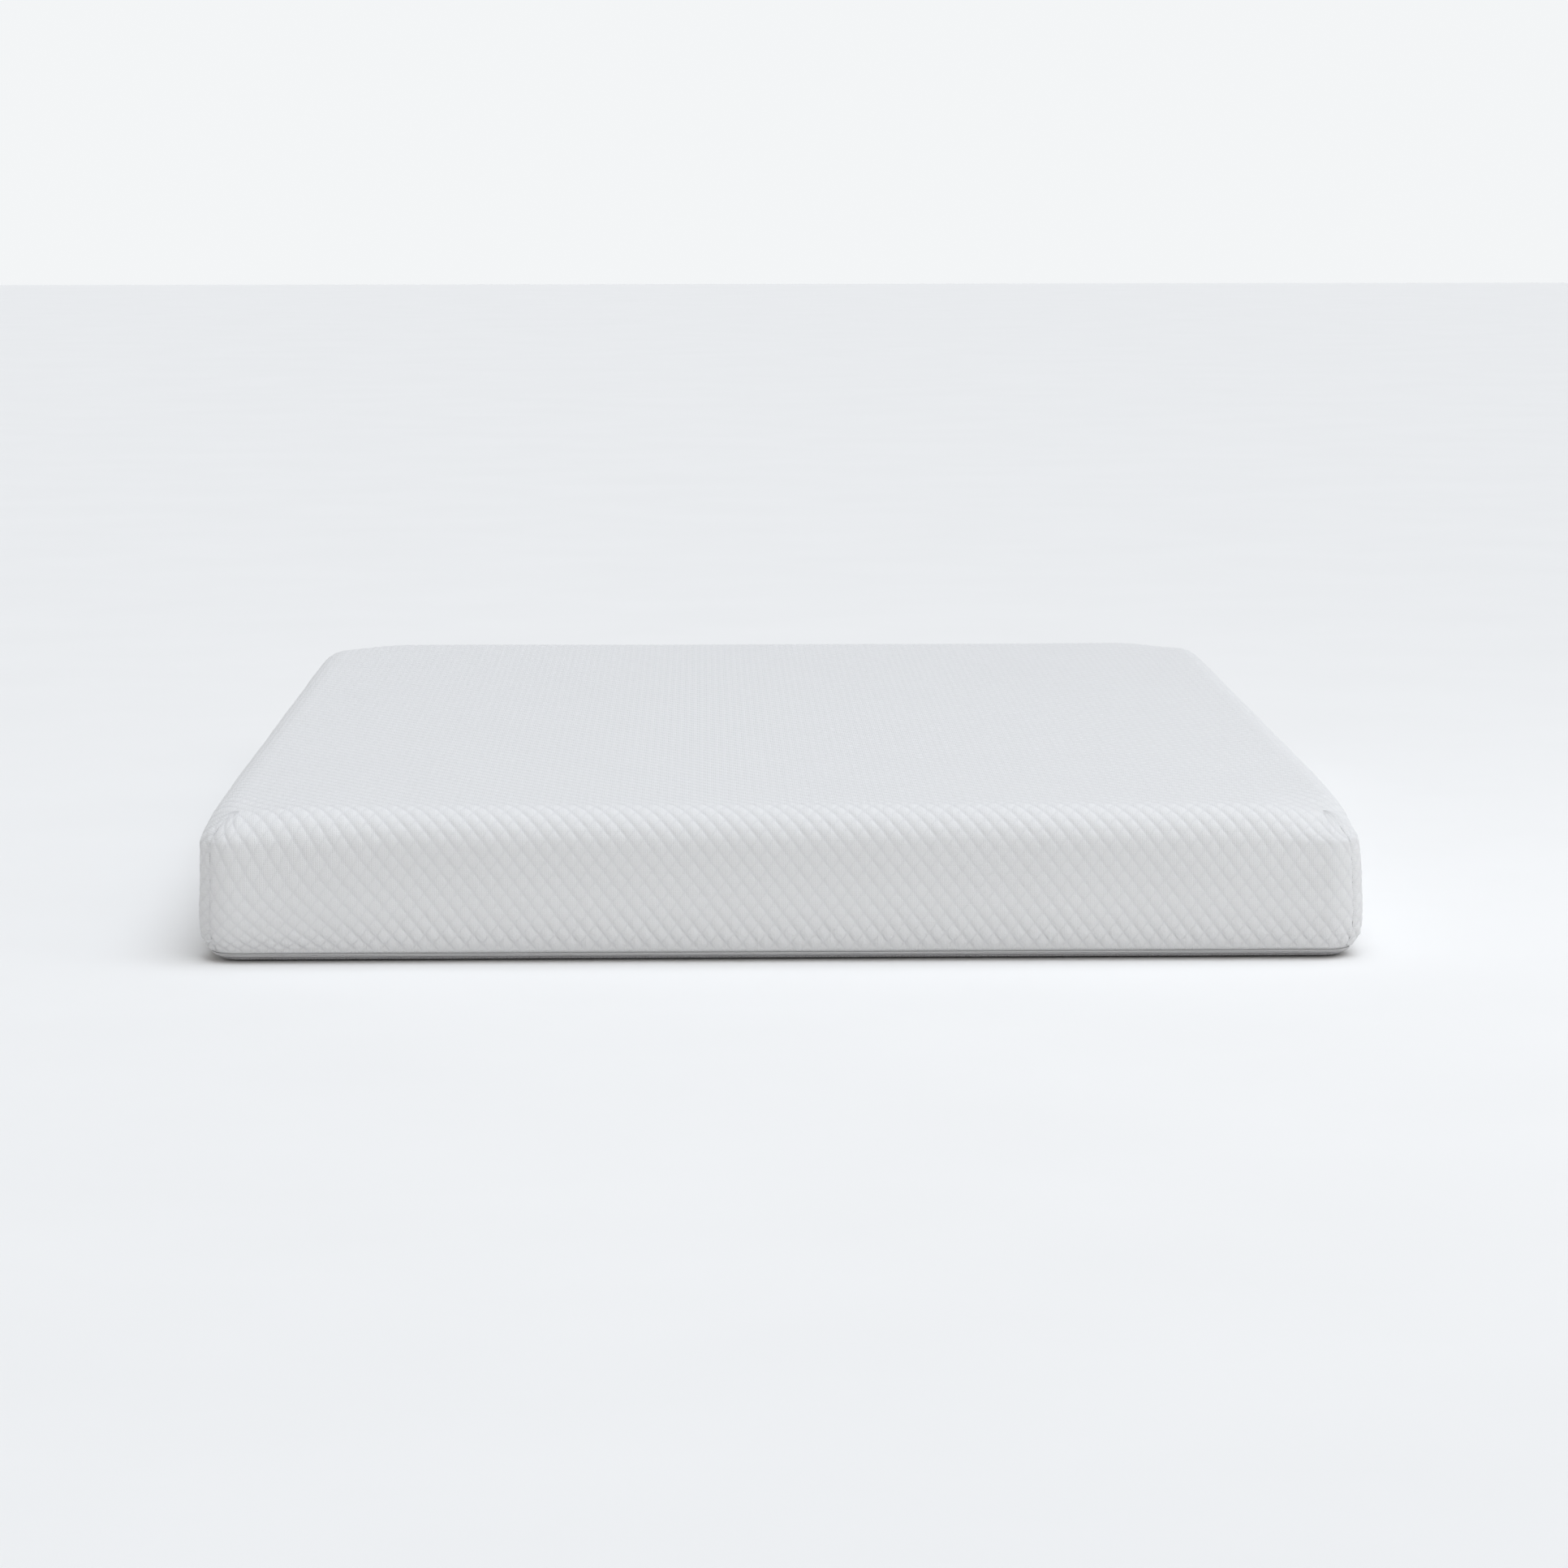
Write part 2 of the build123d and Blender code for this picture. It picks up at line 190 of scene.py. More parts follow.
def weld(points, quads, triangles, *extras):
    """Joins points that coincide and drops faces that collapse."""
    keys = np.round(points / 0.02).astype(np.int64)
    _, first, inverse = np.unique(keys, axis=0, return_index=True, return_inverse=True)
    inverse = inverse.ravel()
    quads, triangles = inverse[quads], inverse[triangles]
    collapsed = (quads == np.roll(quads, 1, axis=1)).any(axis=1)
    narrowed = []
    for face in quads[collapsed]:
        corners = [v for n, v in enumerate(face) if v != face[n - 1]]
        if len(set(corners)) == 3:
            narrowed.append(corners)
    triangles = np.concatenate([triangles, np.array(narrowed, int).reshape(-1, 3)])
    a, b, c = triangles.T
    triangles = triangles[(a != b) & (b != c) & (a != c)]
    return (points[first], quads[~collapsed], triangles, *[e[first] for e in extras])


def point_normals(points, quads, triangles):
    """Unit normal at each point, from the faces round it."""
    normals = np.zeros_like(points)
    across = np.cross(points[quads[:, 2]] - points[quads[:, 0]], points[quads[:, 3]] - points[quads[:, 1]])
    for n in range(4):
        np.add.at(normals, quads[:, n], across)
    a, b, c = (points[triangles[:, n]] for n in range(3))
    across = np.cross(b - a, c - a)
    for n in range(3):
        np.add.at(normals, triangles[:, n], across)
    return normals / np.maximum(np.linalg.norm(normals, axis=1, keepdims=True), 1e-9)


def smoothstep(low, high, value):
    """Goes smoothly from 0 at low to 1 at high."""
    t = np.clip((value - low) / (high - low), 0, 1)
    return t * t * (3 - 2 * t)


# --- The mattress's soft outline -------------------------------------------------------------------------


def profile(s, inset=0.0):
    """Distance out from the core line and height on the side's profile, s along it from the flat top."""
    top = np.clip((s - FLAT) / TOP_RADIUS, 0, QUARTER)
    low = np.clip((s - ROUNDING) / LOW_RADIUS, 0, QUARTER)
    upright = np.clip(s - FLAT - TOP_ARC, 0, UPRIGHT)
    top_radius = TOP_RADIUS - inset
    low_radius = LOW_RADIUS - inset
    out = np.minimum(s, FLAT) + top_radius * np.sin(top) - low_radius * (1 - np.cos(low))
    height = HEIGHT - inset - top_radius * (1 - np.cos(top)) - upright - low_radius * np.sin(low)
    return out, height


def at_corners(amounts, reach, full_x, full_y, x, y):
    """An amount per corner, which is full at the corner and fades within reach of it."""
    near_x = smoothstep(CORE_X - reach, full_x, abs(x))
    near_y = smoothstep(CORE_Y - reach, full_y, abs(y))
    amount = sum(value * (x * sign_x > 0) * (y * sign_y > 0) for (sign_x, sign_y), value in amounts.items())
    return amount * near_x * near_y


def soften(points, outward):
    """The soft shape on the plain outline. outward is the plan direction out of the side, 0 on the top."""
    x, y, z = points.T
    out_x, out_y = outward.T
    bulge = BULGE * np.exp(-(((z - BULGE_Z) / BULGE_REACH) ** 2))
    wave_x = np.sin(x / 83 + 0.7) * np.sin(z / 47 + y / 310) + 0.6 * np.sin(x / 31 + z / 60)
    wave_y = np.sin(y / 97 + 0.3) * np.sin(z / 43 + x / 270) + 0.6 * np.sin(y / 37 + z / 55)
    wave = SIDE_WAVE * (wave_x * abs(out_y) + wave_y * abs(out_x)) * smoothstep(30, 80, z)
    droop = at_corners(DROOPS, DROOP_REACH, HALF_WIDTH, HALF_LENGTH, x, y)
    droop *= smoothstep(DROOP_FROM, HEIGHT - 8, z)
    out = np.hypot(np.maximum(abs(x) - CORE_X, 0), np.maximum(abs(y) - CORE_Y, 0))
    lean = at_corners(LEANS, LEAN_REACH, CORE_X, CORE_Y, x, y) * smoothstep(LEAN_FROM, LEAN_FULL, z)
    lean *= smoothstep(0, CORNER_RADIUS, out)
    swell = np.sin(x / 210 + 1.1) * np.sin(y / 260 + 0.4) + 0.5 * np.sin(x / 95 + y / 140)
    lift = TOP_WAVE * swell * smoothstep(HEIGHT - 30, HEIGHT, z)
    side = bulge + wave - lean
    return np.stack([x + out_x * side, y + out_y * side, z - droop + lift], axis=1)


# --- Quilted cloth ---------------------------------------------------------------------------------------


def lattice(sum_range, gap_range, steps):
    """Fine points and faces of the diamond lattice inside a rectangle of half diamonds: half diamonds
    across and along, the puff height there from 0 to 1, quads and edge triangles."""
    fine = len(steps) - 1
    low_sum, high_sum = (fine * v for v in sum_range)
    low_gap, high_gap = (fine * v for v in gap_range)
    i = np.arange((low_sum + low_gap) // 2 - 1, (high_sum + high_gap) // 2 + 2)
    j = np.arange((low_sum - high_gap) // 2 - 1, (high_sum - low_gap) // 2 + 2)
    cell_i, cell_j = (g.ravel() for g in np.meshgrid(i[:-1], j[:-1], indexing="ij"))
    middle_sum, middle_gap = cell_i + cell_j + 1, cell_i - cell_j
    in_sum = (middle_sum > low_sum) & (middle_sum < high_sum)
    in_gap = (middle_gap > low_gap) & (middle_gap < high_gap)
    a = (cell_i - i[0]) * len(j) + cell_j - j[0]
    b, c, d = a + len(j), a + len(j) + 1, a + 1
    quads = np.stack([a, d, c, b], axis=1)[in_sum & in_gap]
    halves = [
        ((middle_sum == high_sum) & in_gap, (a, d, b)),
        ((middle_sum == low_sum) & in_gap, (b, d, c)),
        ((middle_gap == high_gap) & in_sum, (a, d, c)),
        ((middle_gap == low_gap) & in_sum, (a, c, b)),
    ]
    triangles = np.concatenate([np.stack(corners, axis=1)[where] for where, corners in halves])
    used, renumbered = np.unique(np.concatenate([quads.ravel(), triangles.ravel()]), return_inverse=True)
    renumbered = renumbered.ravel()
    quads, triangles = renumbered[: quads.size].reshape(-1, 4), renumbered[quads.size :].reshape(-1, 3)
    at_i, at_j = used // len(j) + i[0], used % len(j) + j[0]
    part_i, part_j = steps[np.mod(at_i, fine)], steps[np.mod(at_j, fine)]
    place_i, place_j = at_i // fine + part_i, at_j // fine + part_j
    dome_i, dome_j = ((4 * part * (1 - part)) ** PUFF_FULLNESS for part in (part_i, part_j))
    puff = dome_i * (1 - CROSS_GROOVE + CROSS_GROOVE * dome_j)
    return place_i + place_j, place_i - place_j, puff, quads, triangles


def dragged(s, x, y):
    """Where a place s down the side lies once the corner seams have dragged the cloth down by them."""
    held_by_hem = np.sin(QUARTER * np.clip((DROP - s) / (DROP - DRAG_MOST), 0, 1))
    fall = smoothstep(DRAG_START, DRAG_MOST, s) * held_by_hem
    return s + fall * at_corners(DRAGS, DRAG_REACH, CORE_X, CORE_Y, x, y)


def flap(towards_y, sign, steps):
    """One side of the cloth, from the top block's edge down to the hem, fanned to the corner seams."""
    along_edge = (HALF_DIAMONDS_X, FOOT_CORNER_COLUMNS, HALF_DIAMOND_X)
    down_side = (HALF_DIAMONDS_Y, FOOT_DROP_ROWS, HALF_DIAMOND_Y)
    if not towards_y:
        along_edge = (HALF_DIAMONDS_Y, SIDE_CORNER_COLUMNS, HALF_DIAMOND_Y)
        down_side = (HALF_DIAMONDS_X, SIDE_DROP_ROWS, HALF_DIAMOND_X)
    half, extra, pitch = along_edge
    start, rows, drop_pitch = down_side
    edge_range = (-half - extra, half + extra)
    drop_range = sorted((sign * start, sign * (start + rows)))
    ranges = (edge_range, drop_range) if towards_y else (drop_range, edge_range)
    across, along, puff, quads, triangles = lattice(*ranges, steps)
    edge, down = (across, along) if towards_y else (along, across)
    s = (abs(down) - start) / rows * DROP
    turn = np.maximum(abs(edge) - half, 0) / extra * QUARTER / 2
    core = [np.clip(edge, -half, half) * pitch, np.full_like(edge, sign * start * drop_pitch)]
    outward = [np.sign(edge) * np.sin(turn), sign * np.cos(turn)]
    if not towards_y:
        core.reverse()
        outward.reverse()
    to_seam = (half + extra - abs(edge)) * pitch
    core, outward = np.stack(core, axis=1), np.stack(outward, axis=1)
    return core, outward, s, to_seam, across, along, puff, quads, triangles


def laid_cloth(inset, steps):
    """The whole cloth over the mattress, as a dictionary of its points, faces and what is known there."""
    across, along, puff, quads, triangles = lattice(
        (-HALF_DIAMONDS_X, HALF_DIAMONDS_X), (-HALF_DIAMONDS_Y, HALF_DIAMONDS_Y), steps
    )
    core = np.stack([across * HALF_DIAMOND_X, along * HALF_DIAMOND_Y], axis=1)
    nowhere = np.zeros(len(core))
    far = np.full(len(core), CORE_X)
    parts = [(core, np.zeros_like(core), nowhere, far, across, along, puff, quads, triangles)]
    parts += [flap(towards_y, sign, steps) for towards_y in (True, False) for sign in (-1, 1)]

    rows = []
    count = 0
    for core, outward, s, to_seam, across, along, puff, quads, triangles in parts:
        out, height = profile(dragged(s, *core.T), inset)
        points = np.column_stack([core + outward * out[:, None], height])
        cloth = np.column_stack([across * HALF_DIAMOND_X, along * HALF_DIAMOND_Y, s])
        rows.append((points, quads + count, triangles + count, cloth, outward, to_seam, puff))
        count += len(points)
    names = ("points", "quads", "triangles", "cloth", "outward", "to_seam", "puff")
    laid = dict(zip(names, weld(*[np.concatenate(column) for column in zip(*rows)])))
    laid["points"] = soften(laid["points"], laid["outward"])
    return laid


def quilt_layer(name, inset, steps, puff_height):
    """A layer of the quilt: puffed between its grooves, drawn in at the corner seams, flat at the hem."""
    laid = laid_cloth(inset, steps)
    normals = point_normals(laid["points"], laid["quads"], laid["triangles"])
    s, to_seam = laid["cloth"][:, 2], laid["to_seam"]
    at_seam = np.exp(-((to_seam / SEAM_DIP_WIDTH) ** 2)) * smoothstep(0, 25, s)
    at_hem = smoothstep(DROP - 12, DROP - 4, s)
    pucker = np.sin(s * 2 * math.pi / PUCKER_PITCH) * np.exp(-to_seam / PUCKER_REACH) * smoothstep(20, 60, s)
    apex = np.hypot(*(abs(laid["points"][:, :2]) - (CORE_X, CORE_Y)).T)
    gathered = np.exp(-((apex / GATHER_REACH) ** 2))
    gain = 1 + LOW_PUFF_GAIN * smoothstep(0.74 * DROP, 0.95 * DROP, s)
    gain -= TAUTNESS * smoothstep(0.22 * DROP, 0.4 * DROP, s) * smoothstep(0.93 * DROP, 0.66 * DROP, s)
    across, along = laid["cloth"][:, 0] / HALF_DIAMOND_X, laid["cloth"][:, 1] / HALF_DIAMOND_Y
    gain += PUFF_VARIATION * np.sin(1.7 * across + 0.9 * along) * np.sin(2.3 * along - 0.6 * across)
    puff = (laid["puff"] - PUFF_MIDDLE) * puff_height * gain * (1 - 0.75 * at_seam) * (1 - gathered)
    shift = (puff + PUCKER * pucker) * (1 - at_hem) - SEAM_DIP * at_seam
    shift -= HEM_TUCK * smoothstep(DROP - 1.5, DROP, s)
    layer = new_object(name, laid["points"] + normals * shift[:, None], laid["quads"], laid["triangles"])
    store(layer, "cloth", laid["cloth"] * MM)
    # Puff height and seam weight, which the knit material turns into painted shade in the grooves and along
    # the seams.
    store(layer, "quilt", np.column_stack([laid["puff"], at_seam, at_hem]))
    return layer


# --- Bands and stitches round the zip --------------------------------------------------------------------


def rim_stations(start_x, end_x, spacing):
    """Stations round the mattress, clockwise from above, from start_x to end_x on the head side: the
    point on the core line, the plan direction outwards, and the length travelled."""
    legs = [((start_x, CORE_Y), (CORE_X, CORE_Y), QUARTER, QUARTER)]
    corners = [(CORE_X, CORE_Y), (CORE_X, -CORE_Y), (-CORE_X, -CORE_Y), (-CORE_X, CORE_Y)]
    for n, corner in enumerate(corners):
        angle = QUARTER * (1 - n)
        following = corners[n + 1] if n < 3 else (end_x, CORE_Y)
        legs.append((corner, corner, angle, angle - QUARTER))
        legs.append((corner, following, angle - QUARTER, angle - QUARTER))
    stations = []
    travelled = 0.0
    for first, last, first_angle, last_angle in legs:
        length = math.dist(first, last) + CORNER_RADIUS * abs(last_angle - first_angle)
        count = max(2, round(length / spacing))
        t = np.arange(count) / count
        angle = first_angle + (last_angle - first_angle) * t
        x = first[0] + (last[0] - first[0]) * t
        y = first[1] + (last[1] - first[1]) * t
        stations.append(np.column_stack([x, y, np.cos(angle), np.sin(angle), travelled + length * t]))
        travelled += length
    stations.append([[end_x, CORE_Y, 0.0, 1.0, travelled]])
    stations = np.concatenate(stations)
    return stations[:, :2], stations[:, 2:4], stations[:, 4]


def on_rounding(core, outward, rise, inset):
    """Points on the lower rounding, rise up it from the zip's middle line and inset into it."""
    angle = ZIP_ANGLE - rise / LOW_RADIUS
    out = CORNER_RADIUS - LOW_RADIUS + (LOW_RADIUS - inset) * np.cos(angle)
    height = LOW_RADIUS - (LOW_RADIUS - inset) * np.sin(angle) + np.zeros(len(core))
    return np.column_stack([core + outward * np.reshape(out, (-1, 1)), height])


def grid_faces(rows, columns, closed=False):
    """Quads of a grid of points, row by row, closed across its columns if asked."""
    steps = columns if closed else columns - 1
    row, column = np.meshgrid(np.arange(rows - 1), np.arange(steps), indexing="ij")
    row, column = row.ravel(), column.ravel()
    after = (column + 1) % columns
    this_row, next_row = row * columns, (row + 1) * columns
    return np.stack([this_row + column, this_row + after, next_row + after, next_row + column], axis=1)


def shell_faces(rows, columns):
    """Faces of a thin closed shell: a front grid of points and a back one, joined round the edge."""
    faces = grid_faces(rows, columns)
    count = rows * columns
    ring = np.concatenate([
        np.arange(columns),
        np.arange(1, rows) * columns + columns - 1,
        (rows - 1) * columns + np.arange(columns - 2, -1, -1),
        np.arange(rows - 2, 0, -1) * columns,
    ])
    after = np.roll(ring, -1)
    border = np.stack([ring, ring + count, after + count, after], axis=1)
    return np.concatenate([faces, faces[:, ::-1] + count, border])


def zip_band(name, section, start_x, end_x, spacing, ridge=0.0):
    """A band along the zip with a closed section of (rise, inset) points. ridge lets every second
    station stand lower, as between a coil's teeth."""
    core, outward, travelled = rim_stations(start_x, end_x, spacing)
    low = np.arange(len(core)) % 2
    points, cloth = [], []
    for rise, inset in section:
        sunk = low * ridge * (inset < 0)
        points.append(on_rounding(core, outward, rise, inset + sunk))
        cloth.append(np.column_stack([travelled, np.full(len(core), rise), np.full(len(core), inset)]))
    columns = len(section)
    points = np.stack(points, axis=1).reshape(-1, 3)
    band = new_object(name, points, grid_faces(len(core), columns, closed=True))
    store(band, "cloth", np.stack(cloth, axis=1).reshape(-1, 3) * MM)
    return band


def stitch_row(name, path, pitch, thickness, lift_direction):
    """A row of separate thread stitches along a path of points, each a small arched bead."""
    steps = np.linalg.norm(np.diff(path, axis=0), axis=1)
    length = np.concatenate([[0], np.cumsum(steps)])
    count = int(length[-1] / pitch)
    rings = np.array([-0.5, -0.36, 0.0, 0.36, 0.5])
    fatness = np.array([0.25, 0.85, 1.0, 0.85, 0.25]) * thickness / 2
    sink = np.array([0.9, 0.25, 0.0, 0.25, 0.9]) * thickness
    sides = 6
    middle = (np.arange(count) + 0.5) * pitch
    along = middle[:, None] + rings[None, :] * pitch * 0.82
    centre = np.stack([np.interp(along, length, path[:, n]) for n in range(3)], axis=2)
    lift = np.stack([np.interp(along, length, lift_direction[:, n]) for n in range(3)], axis=2)
    tangent = np.gradient(centre, axis=1)
    tangent /= np.linalg.norm(tangent, axis=2, keepdims=True)
    side = np.cross(tangent, lift)
    side /= np.linalg.norm(side, axis=2, keepdims=True)
    up = np.cross(side, tangent)
    centre = centre - up * sink[None, :, None]
    turn = np.arange(sides) / sides * 2 * math.pi
    cosine, sine = (f(turn)[None, None, :, None] for f in (np.cos, np.sin))
    ring = side[:, :, None] * cosine + up[:, :, None] * sine
    points = centre[:, :, None] + ring * fatness[None, :, None, None]
    one = grid_faces(len(rings), sides, closed=True)
    quads = (one[None] + (np.arange(count) * len(rings) * sides)[:, None, None]).reshape(-1, 4)
    return new_object(name, points.reshape(-1, 3), quads)


def hem_stitches(name, rise):
    """Stitches all round the zip, on the face of its tape."""
    core, outward, _ = rim_stations(0.0, 0.0, 6.0)
    path = on_rounding(core, outward, rise, -0.25)
    inside = on_rounding(core, outward, rise, 1.0)
    return stitch_row(name, path, *HEM_STITCH, path - inside)


def corner_stitches(name, sign_x, sign_y):
    """Stitches down one corner seam, in the valley where the two flaps meet."""
    s = np.arange(6.0, DROP - 3, 1.5)
    diagonal = np.array([sign_x, sign_y]) * math.sqrt(0.5)
    outward = np.tile(diagonal, (len(s), 1))
    core = np.array([sign_x * CORE_X, sign_y * CORE_Y])
    rows = []
    for inset in (0.0, 1.0):
        out, height = profile(s, inset)
        rows.append(soften(np.column_stack([core + outward * out[:, None], height]), outward))
    normal = rows[0] - rows[1]
    return stitch_row(name, rows[0] - normal * (SEAM_DIP * 0.9), *CORNER_STITCH, normal)


# --- Other cloth pieces ------------------------------------------------------------------------------------


def base_cloth():
    """The underside's cloth, flat on the floor and turned up the rounding to its own hem."""
    core, outward, _ = rim_stations(0.0, 0.0, 5.0)
    core, outward = core[:-1], outward[:-1]
    rises = np.linspace(-HEM_RISE, (ZIP_ANGLE - QUARTER) * LOW_RADIUS, 7)
    rings = [on_rounding(core, outward, rise, TAPE_INSET * (n == 0)) for n, rise in enumerate(rises)]
    shrink = [0.985, 0.9, 0.7, 0.45, 0.2]
    rim = rings[-1]
    rings += [np.column_stack([rim[:, 0] * k, rim[:, 1] * k, rim[:, 2]]) for k in shrink]
    count = len(core)
    points = np.concatenate([*rings, [[0.0, 0.0, 0.0]]])
    quads = grid_faces(len(rings), count, closed=True)
    last = (len(rings) - 1) * count
    step = np.arange(count)
    after = (step + 1) % count
    triangles = np.column_stack([last + step, last + after, np.full(count, len(rings) * count)])
    cloth = new_object("base_cloth", points, quads, triangles)
    store(cloth, "cloth", points * MM)
    return cloth


def label_cloth(node, name, curl, standoff):
    """A blank sewn label in place of its CAD solid: a strip of cloth, held at the top and free below.
    standoff keeps it in front of the puffs of a quilted side."""
    low, high = cad_mm(node)
    columns, rows = SMALL_CLOTH_GRID
    across, down = np.meshgrid(np.linspace(0, 1, columns), np.linspace(0, 1, rows))
    across, down = across.ravel(), down.ravel()
    hem = 0.25 * smoothstep(0.86, 0.97, np.maximum(abs(across - 0.5) * 2, abs(down - 0.5) * 2))
    x = low[0] + across * (high[0] - low[0])
    z = high[2] - down * (high[2] - low[2])
    wave = np.sin(across * 7.0 + 0.6) * 0.35 * down + curl * down**3 + standoff
    front = np.column_stack([x, high[1] - 0.1 + wave + hem, z])
    back = np.column_stack([x, low[1] + 0.05 + wave, z])
    points = np.concatenate([front, back])
    label = new_object(name, points, shell_faces(rows, columns)[:, ::-1])
    store(label, "cloth", points[:, [0, 2, 1]] * MM)
    return label


def label_stitches(node, name, standoff):
    """The row of stitches along a label's top edge."""
    low, high = cad_mm(node)
    count = 60
    x = np.linspace(low[0] + 3, high[0] - 3, count)
    path = np.column_stack([x, np.full(count, high[1] + 0.45 + standoff), np.full(count, high[2] - 4)])
    return stitch_row(name, path, *LABEL_STITCH, np.tile([0.0, 1.0, 0.0], (count, 1)))


def end_tab():
    """The folded cloth tab over the zip's ends, padded and sewn round its edge."""
    low, high = cad_mm("zip_end_tab")
    columns, rows = SMALL_CLOTH_GRID
    x = np.linspace(low[0], high[0], columns)
    rises = np.linspace(-TAB_HALF_HEIGHT, TAB_HALF_HEIGHT, rows)
    grid_x, grid_rise = (g.ravel() for g in np.meshgrid(x, rises, indexing="ij"))
    width, height = high[0] - low[0], 2 * TAB_HALF_HEIGHT
    across = (grid_x - low[0]) / width
    up = (grid_rise + TAB_HALF_HEIGHT) / height
    edge = np.minimum(np.minimum(across, 1 - across) * width, np.minimum(up, 1 - up) * height)
    thickness = 0.5 + 1.2 * smoothstep(0, 1.2, edge) - 0.6 * np.exp(-(((edge - 2.4) / 0.7) ** 2))
    core = np.column_stack([grid_x, np.full(len(grid_x), CORE_Y)])
    outward = np.tile([0.0, 1.0], (len(grid_x), 1))
    outer = on_rounding(core, outward, grid_rise, -thickness)
    inner = on_rounding(core, outward, grid_rise, 0.4)
    tab = new_object("end_tab_cloth", np.concatenate([outer, inner]), shell_faces(columns, rows))
    flat = np.column_stack([grid_x, grid_rise, np.zeros(len(grid_x))])
    store(tab, "cloth", np.concatenate([flat, flat]) * MM)
    return tab


def memory_foam():
    """The top foam layer, rounded over and drooping with the cover above it."""
    low, _ = cad_mm("memory_foam_layer")
    inset = HALF_WIDTH + low[0]
    core, outward, _ = rim_stations(0.0, 0.0, 25.0)
    core, outward = core[:-1], outward[:-1]
    arc_end = FLAT + TOP_ARC
    foot = arc_end + TOP_RADIUS + (HEIGHT - 2 * TOP_RADIUS - low[2])
    s = np.concatenate([np.linspace(foot, arc_end, 4), np.linspace(arc_end, FLAT, 10)[1:], [0.0]])
    rings = []
    for along in s:
        out, height = profile(np.full(len(core), along), inset)
        height = np.maximum(height, low[2] + 0.3)
        rings.append(soften(np.column_stack([core + outward * out[:, None], height]), outward))
    rim = rings[-1]
    middle = [rim * [k, k, 1] for k in (0.9, 0.7, 0.4)]
    bottom = [rings[0] * [k, k, 1] for k in (0.4, 0.8)]
    rings = bottom + rings + middle
    count = len(core)
    points = np.concatenate(rings)
    ends = [points[:count].mean(axis=0), points[-count:].mean(axis=0)]
    quads = grid_faces(len(rings), count, closed=True)
    step = np.arange(count)
    after = (step + 1) % count
    last = (len(rings) - 1) * count
    total = len(points)
    caps = np.concatenate([
        np.column_stack([after, step, np.full(count, total)]),
        np.column_stack([last + step, last + after, np.full(count, total + 1)]),
    ])
    return new_object("memory_foam", np.concatenate([points, ends]), quads, caps)


# --- Materials ---------------------------------------------------------------------------------------------


class Nodes:
    """A new principled material, with short calls for the nodes used here."""

    def __init__(self, name, color, roughness, sheen=0.0, metallic=0.0, subsurface=0.0):
        self.material = bpy.data.materials.new(name)
        self.material.use_nodes = True
        self.tree = self.material.node_tree
        self.shader = self.tree.nodes["Principled BSDF"]
        self.color = color
        for socket, value in (
            ("Base Color", (*color, 1.0)),
            ("Roughness", roughness),
            ("Metallic", metallic),
            ("Sheen Weight", sheen),
            ("Sheen Roughness", 0.5),
            ("Subsurface Weight", subsurface),
            ("Subsurface Scale", 0.004),
        ):
            self.shader.inputs[socket].default_value = value

    def link(self, value, socket):
        """Feeds a socket from another socket, or sets it to a plain value."""
        if isinstance(value, bpy.types.NodeSocket):
            self.tree.links.new(value, socket)
        else:
            socket.default_value = value

    def math(self, operation, *values):
        """A sum, product or other operation on sockets or plain values."""
        node = self.tree.nodes.new("ShaderNodeMath")
        node.operation = operation
        for value, socket in zip(values, node.inputs):
            self.link(value, socket)
        return node.outputs[0]

    def parts(self, attribute):
        """The three parts of a vector stored on the mesh, or of the place in the object."""
        if attribute == "place":
            source = self.tree.nodes.new("ShaderNodeTexCoord").outputs["Object"]
        else:
            node = self.tree.nodes.new("ShaderNodeAttribute")
            node.attribute_name = attribute
            source = node.outputs["Vector"]
        split = self.tree.nodes.new("ShaderNodeSeparateXYZ")
        self.link(source, split.inputs[0])
        return source, split.outputs

    def wave(self, value, pitch_mm):
        """A sine of a length in metres, with this pitch in millimetres."""
        return self.math("SINE", self.math("MULTIPLY", value, 2 * math.pi / (pitch_mm * MM)))

    def noise(self, vector, size_mm, detail=2.0, kind="ShaderNodeTexNoise"):
        """Unevenness or cells of about this size."""
        node = self.tree.nodes.new(kind)
        self.link(vector, node.inputs["Vector"])
        node.inputs["Scale"].default_value = 1 / (size_mm * MM)
        if "Detail" in node.inputs:
            node.inputs["Detail"].default_value = detail
        return node.outputs[0]

    def remap(self, value, low, high, new_low, new_high):
        """Stretches a range of values to another one, and stops at its ends."""
        node = self.tree.nodes.new("ShaderNodeMapRange")
        for number, socket in zip((value, low, high, new_low, new_high), node.inputs):
            self.link(number, socket)
        return node.outputs[0]

    def tint(self, factor, dark_share):
        """Colours the surface between a darker share of its colour, at 0, and its colour, at 1."""
        mix = self.tree.nodes.new("ShaderNodeMix")
        mix.data_type = "RGBA"
        self.link(factor, mix.inputs["Factor"])
        mix.inputs["A"].default_value = (*(c * share for c, share in zip(self.color, dark_share)), 1.0)
        mix.inputs["B"].default_value = (*self.color, 1.0)
        self.link(mix.outputs["Result"], self.shader.inputs["Base Color"])

    def bump(self, height, depth_mm, strength=1.0):
        """Tilts the surface's shading by a height."""
        node = self.tree.nodes.new("ShaderNodeBump")
        node.inputs["Strength"].default_value = strength
        node.inputs["Distance"].default_value = depth_mm * MM
        self.link(height, node.inputs["Height"])
        self.link(node.outputs[0], self.shader.inputs["Normal"])


